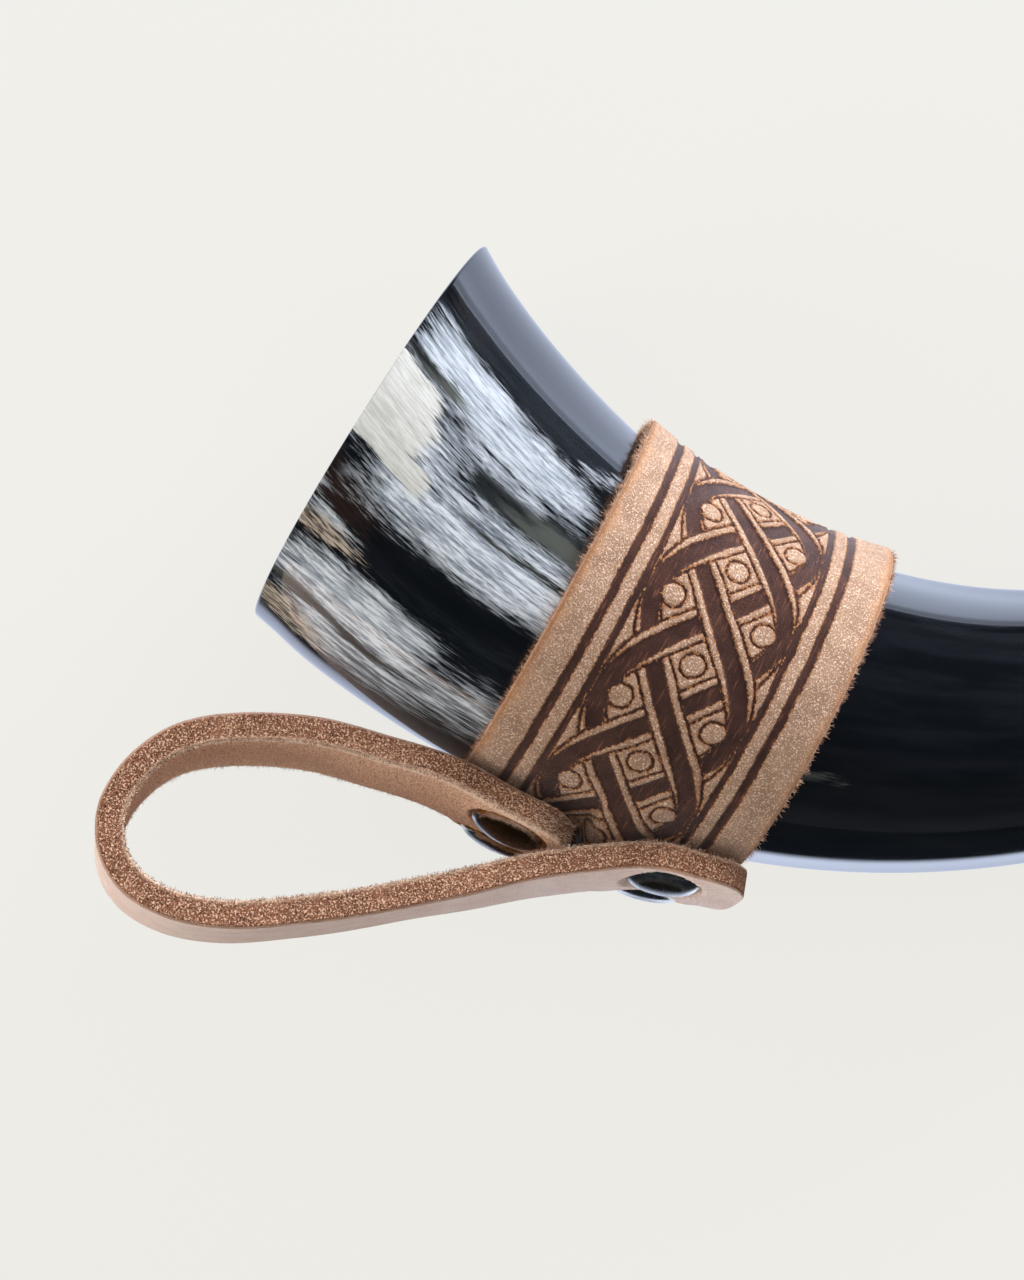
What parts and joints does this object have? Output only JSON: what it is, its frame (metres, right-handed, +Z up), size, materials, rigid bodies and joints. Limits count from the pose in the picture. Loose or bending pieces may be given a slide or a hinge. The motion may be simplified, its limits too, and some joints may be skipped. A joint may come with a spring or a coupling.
{
  "type": "drinking horn with belt holder",
  "caption": "Curved polished cattle-horn drinking vessel, hollow from its mouth, held in a tooled leather cuff with a riveted leather belt loop; the horn draws out of the cuff along its bend.",
  "frame": {"origin": "centre of the bounding box in X and Y, on the surface that the part lies on", "axes": "the part lies on its side; -X is square to the flat rim of the mouth and points out of it, +Y points along the longest side towards the tip, +Z is up"},
  "size_m": [0.183, 0.2622, 0.0685],
  "materials": {
    "polished_horn": "polished natural horn, near black with white and brown streaks",
    "tooled_leather": "vegetable-tanned leather with a dark tooled plait pattern",
    "harness_leather": "thick strap leather, smooth outside, rough flesh side",
    "rivet_metal": "nickel-plated double-cap rivet, worn at the edge"
  },
  "bodies": {
    "holder": {"cuff": "tooled_leather", "strap": "harness_leather", "rivet_cap_tip_upper": "rivet_metal", "rivet_cap_tip_lower": "rivet_metal", "rivet_cap_mouth_upper": "rivet_metal", "rivet_cap_mouth_lower": "rivet_metal", "rivet_base_tip_upper": "rivet_metal", "rivet_base_tip_lower": "rivet_metal", "rivet_base_mouth_upper": "rivet_metal", "rivet_base_mouth_lower": "rivet_metal"},
    "drinking_horn": {"horn": "polished_horn"}
  },
  "joints": [
    {"name": "horn_draws_out_along_its_bend", "type": "hinge", "parent": "holder", "child": "drinking_horn", "pos_m": [-0.04585, 0.07258, 0.01923], "axis": [-0.0511, -0.1136, -0.9922], "range_deg": [0, 110]}
  ]
}
